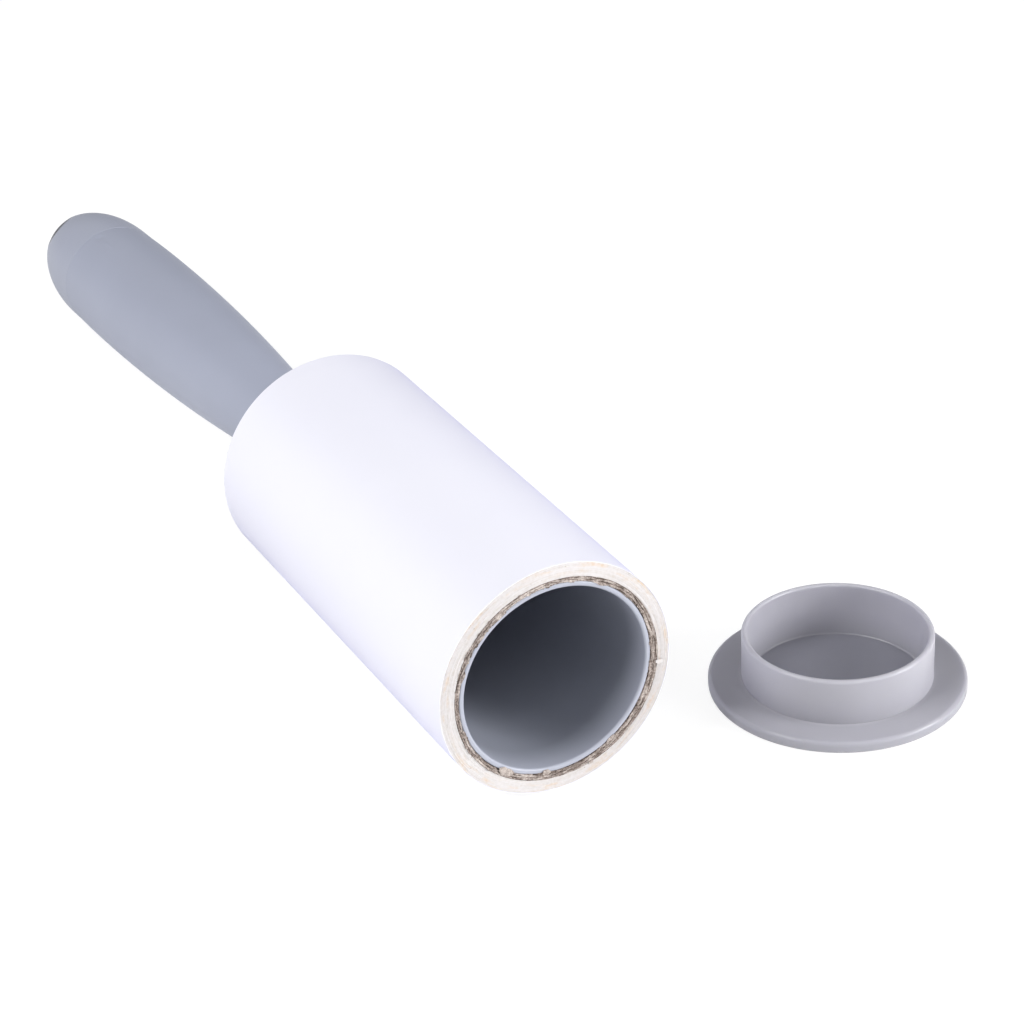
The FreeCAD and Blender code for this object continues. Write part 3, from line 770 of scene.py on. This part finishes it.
def make_fibres():
    """Four torn flaps and the loose fibres on the cut cardboard, and chips on the cut sheets."""
    draw = np.random.RandomState(7)
    board_inner, board_outer = TUBE_RADIUS + RUN_GAP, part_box("cardboard_core")[1].z
    # Each flap's angle, radius, length, width, thickness and lift.
    flakes = [
        flake(draw, math.radians(124.5), board_inner - 0.05 * MM, 3.3 * MM, 1.5 * MM, 0.14 * MM, 0.20 * MM),
        flake(draw, math.radians(98.5), board_inner - 0.30 * MM, 1.7 * MM, 1.0 * MM, 0.12 * MM, 0.18 * MM),
        flake(draw, math.radians(72), board_outer, 1.0 * MM, 1.2 * MM, 0.10 * MM, 0.14 * MM),
        flake(draw, math.radians(57), board_inner - 0.10 * MM, 2.0 * MM, 0.6 * MM, 0.10 * MM, 0.16 * MM),
    ]
    depth = [0.72, 0.66, 0.75, 0.66]
    for _ in range(150):
        radius = draw.uniform(board_inner + 0.05 * MM, board_outer - 0.05 * MM)
        length, width = draw.uniform(0.35, 1.3) * MM, draw.uniform(0.05, 0.14) * MM
        flakes.append(flake(draw, draw.uniform(0, TURN), radius, length, width, 0.04 * MM,
                            draw.uniform(0.08, 0.20) * MM, draw.normal(0, 0.12)))
        depth.append(draw.uniform(0.35, 1.0))
    fibres = flake_piece("core_fibres", flakes, depth)
    dress(fibres, "refill", "board", "cardboard")

    chips = [flake(draw, math.radians(8), board_outer + 0.75 * MM, 0.9 * MM, 1.5 * MM, 0.06 * MM, 0.12 * MM)]
    for _ in range(14):
        chips.append(flake(draw, draw.uniform(0, TURN), draw.uniform(21.0, 23.4) * MM,
                           draw.uniform(0.3, 0.9) * MM, draw.uniform(0.06, 0.2) * MM, 0.03 * MM, 0.05 * MM))
    lint = flake_piece("paper_chips", chips, [0.5] * len(chips))
    dress(lint, "refill", "edges", "sheet_layers")


# Cap

def make_cap():
    """Cap with a thick round-edged flange and a thin skirt, its rim rounded over."""
    low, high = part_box("end_cap")
    flange = (high.x - low.x) / 2
    skirt = MOUNTS["cap_skirt"]["dims"]["r_mm"] * MM
    top = high.z - low.z
    thick = 2.4 * MM
    draft = 0.3 * MM
    corners = [
        (0, 0, 0), (flange, 0, 0.6 * MM), (flange, thick, 0.8 * MM), (skirt, thick, 0.12 * MM),
        (skirt, top, 0.6 * MM), (CAP_BORE + draft, top, 0.5 * MM), (CAP_BORE, CAP_FLOOR, 0.4 * MM),
        (0, CAP_FLOOR, 0)]
    place = Matrix.Translation((CAP_CENTRE.x, CAP_CENTRE.y, low.z))
    cap = lathe("cap_shell", corners, place, turns=360, closed=False, steps=9)
    dress(cap, "cap", "cap", "cap_plastic", "end_cap")


# Handle

def measured_radius(node, place):
    """A smooth curve of a CAD node's outside radius against the distance along its axis."""
    inward = place.inverted()
    points = np.array([tuple(inward @ vertex.co) for vertex in frame["nodes"][node].data.vertices])
    radii = np.hypot(points[:, 0], points[:, 1])
    along = points[:, 2]
    stations = np.linspace(along.min(), along.max(), 40)
    outside = [radii[np.abs(along - station) < 2 * MM].max() for station in stations]
    return Polynomial.fit(stations, outside, 6)


def make_grip():
    """Soft sleeve with softened ends, and the sink and the short raised mark left by its moulding."""
    radius_at = measured_radius("grip_sleeve", ALONG_HANDLE)
    marked = GRIP_END - 19 * MM
    stations = np.append(np.linspace(GRIP_START, marked, 70), np.linspace(marked, GRIP_END, 70)[1:])
    corners = [(radius_at(GRIP_START) - GRIP_WALL, GRIP_START, 0)]
    corners.append((radius_at(GRIP_START), GRIP_START, 0.12 * MM))
    corners += [(radius_at(station), station, 0) for station in stations[1:]]
    outside_count = len(rounded(corners, closed=False))
    # A thin lip follows the rounded edge of the tail plug.
    corners += [(radius_at(GRIP_END) - 0.01 * MM, GRIP_END + 0.18 * MM, 0),
                (radius_at(GRIP_END) - 0.22 * MM, GRIP_END + 0.06 * MM, 0)]
    corners += [(radius_at(station) - GRIP_WALL, station, 0) for station in stations[::-8]]
    outline = rounded(corners)
    angle, radius, along = turned_grid(outline, turns=720)
    outside = np.arange(len(outline)) < outside_count
    around = np.angle(np.exp(1j * (angle - MARK_ANGLE))) * radius
    sink = 0.20 * MM * np.exp(-((along - SINK_AT) / (1.4 * MM)) ** 2 - (around / (0.9 * MM)) ** 2)
    fade = 2 * MM
    stretch = smooth_step(along, MARK_FROM, MARK_FROM + fade)
    stretch = stretch - smooth_step(along, MARK_TO - fade, MARK_TO)
    mark = 0.07 * MM * stretch * np.exp(-(around / (0.45 * MM)) ** 2)
    radius = radius + np.where(outside, mark - sink, 0)
    sleeve = mesh_piece("grip_cover", (angle, radius, along), ALONG_HANDLE)
    dress(sleeve, "handle", "grip", "grip_soft", "grip_sleeve")


# CAD nodes that keep their shape

KEPT = {"handle_core": "handle", "tail_plug": "tail"}


def finish_kept_nodes():
    """Give the CAD nodes that stay visible their materials."""
    for name, material in KEPT.items():
        node = frame["nodes"][name]
        for slot in node.material_slots:
            slot.material = MATERIALS[material]


# Floor, light, camera

FLOOR_HALF_SIDE = 3.0
FLOOR_GLOW = 0.05
FLOOR_SEEN_GLOW = 0.86
WORLD_GLOW = 0.15

# azimuth and elevation in degrees, side in metres, watts
SOFT_BOXES = [
    (315, 18, 0.5, 10.7),
    (90, 18, 0.5, 0.3),
    (135, 18, 0.5, 0.7),
    (180, 48, 0.6, 8.5),
    (270, 48, 0.6, 2.1),
    (315, 48, 0.6, 0.4),
]
LIT_POINT = Vector((0.02, 0.06, -0.005))
LAMP_DISTANCE = 1.1

# The camera's place in metres, its angles in degrees and its lens in millimetres
CAMERA_PLACE = (-0.20685, -0.40733, 0.28692)
CAMERA_HEADING = -26.1
CAMERA_FALL = 28.87
CAMERA_ROLL = -2.76
CAMERA_LENS = 104.24


def seen_as(shader, seen, lighting):
    """One look for what the camera sees directly and another for the light that it gives."""
    mix = shader.nodes.new("ShaderNodeMixShader")
    path = shader.nodes.new("ShaderNodeLightPath")
    shader.links.new(path.outputs["Is Camera Ray"], mix.inputs[0])
    shader.links.new(lighting, mix.inputs[1])
    shader.links.new(seen, mix.inputs[2])
    return mix.outputs[0]


def make_floor():
    """Wide white sweep, bright enough that only the faintest contact shadows show on it."""
    bed = bmesh.new()
    bmesh.ops.create_grid(bed, x_segments=8, y_segments=8, size=FLOOR_HALF_SIDE)
    mesh = bpy.data.meshes.new("floor")
    bed.to_mesh(mesh)
    bed.free()
    floor = bpy.data.objects.new("floor", mesh)
    floor.location.z = FLOOR
    bpy.context.scene.collection.objects.link(floor)
    shader = Shader("white_floor")
    shader.set(Base_Color=(0.90, 0.90, 0.90, 1.0), Roughness=0.9)
    shader.set(Emission_Color=(1.0, 1.0, 1.0, 1.0), Emission_Strength=FLOOR_GLOW)
    matt = shader.add("ShaderNodeBsdfDiffuse")
    matt.inputs["Color"].default_value = (0.20, 0.20, 0.20, 1.0)
    glow = shader.add("ShaderNodeEmission")
    glow.inputs["Strength"].default_value = FLOOR_SEEN_GLOW
    both = shader.add("ShaderNodeAddShader")
    shader.tree.links.new(matt.outputs[0], both.inputs[0])
    shader.tree.links.new(glow.outputs[0], both.inputs[1])
    output = shader.tree.nodes["Material Output"]
    mixed = seen_as(shader.tree, both.outputs[0], shader.surface.outputs[0])
    shader.tree.links.new(mixed, output.inputs["Surface"])
    mesh.materials.append(shader.material)


def aim(thing, location, target):
    """Put a lamp at a location, facing a target."""
    thing.location = location
    thing.rotation_euler = (Vector(target) - Vector(location)).to_track_quat("-Z", "Y").to_euler()


def make_lights():
    """Large soft boxes round the object, and a dim even sky."""
    for azimuth, elevation, side, watts in SOFT_BOXES:
        lamp = bpy.data.lights.new("soft_box", "AREA")
        lamp.shape = "SQUARE"
        lamp.size = side
        lamp.energy = watts
        light = bpy.data.objects.new(f"soft_box_{azimuth}_{elevation}", lamp)
        bpy.context.scene.collection.objects.link(light)
        turn, rise = math.radians(azimuth), math.radians(elevation)
        level = math.cos(rise)
        outwards = Vector((math.cos(turn) * level, math.sin(turn) * level, math.sin(rise)))
        aim(light, LIT_POINT + outwards * LAMP_DISTANCE, LIT_POINT)
    world = bpy.data.worlds.new("studio")
    world.use_nodes = True
    tree = world.node_tree
    lighting = tree.nodes["Background"]
    lighting.inputs["Color"].default_value = (0.97, 0.98, 1.0, 1.0)
    lighting.inputs["Strength"].default_value = WORLD_GLOW
    seen = tree.nodes.new("ShaderNodeBackground")
    seen.inputs["Color"].default_value = (0.93, 0.94, 0.95, 1.0)
    mixed = seen_as(tree, seen.outputs[0], lighting.outputs[0])
    tree.links.new(mixed, tree.nodes["World Output"].inputs["Surface"])
    bpy.context.scene.world = world


def make_camera():
    """The view from in front of the mouth, above and to the left, with a long lens."""
    camera = bpy.data.cameras.new("camera")
    camera.sensor_width = 36.0
    camera.lens = CAMERA_LENS
    camera.clip_start = 0.02
    camera.clip_end = 20
    view = bpy.data.objects.new("camera", camera)
    heading = Matrix.Rotation(math.radians(CAMERA_HEADING), 4, "Z")
    tilt = Matrix.Rotation(math.radians(90 - CAMERA_FALL), 4, "X")
    roll = Matrix.Rotation(math.radians(CAMERA_ROLL), 4, "Z")
    view.matrix_world = Matrix.Translation(CAMERA_PLACE) @ heading @ tilt @ roll
    bpy.context.scene.collection.objects.link(view)
    bpy.context.scene.camera = view
    bpy.context.scene.view_settings.view_transform = "Standard"


make_camera()
make_barrel()
make_running_gear()
make_sheets()
make_core()
make_fibres()
make_cap()
make_grip()
finish_kept_nodes()
make_floor()
make_lights()
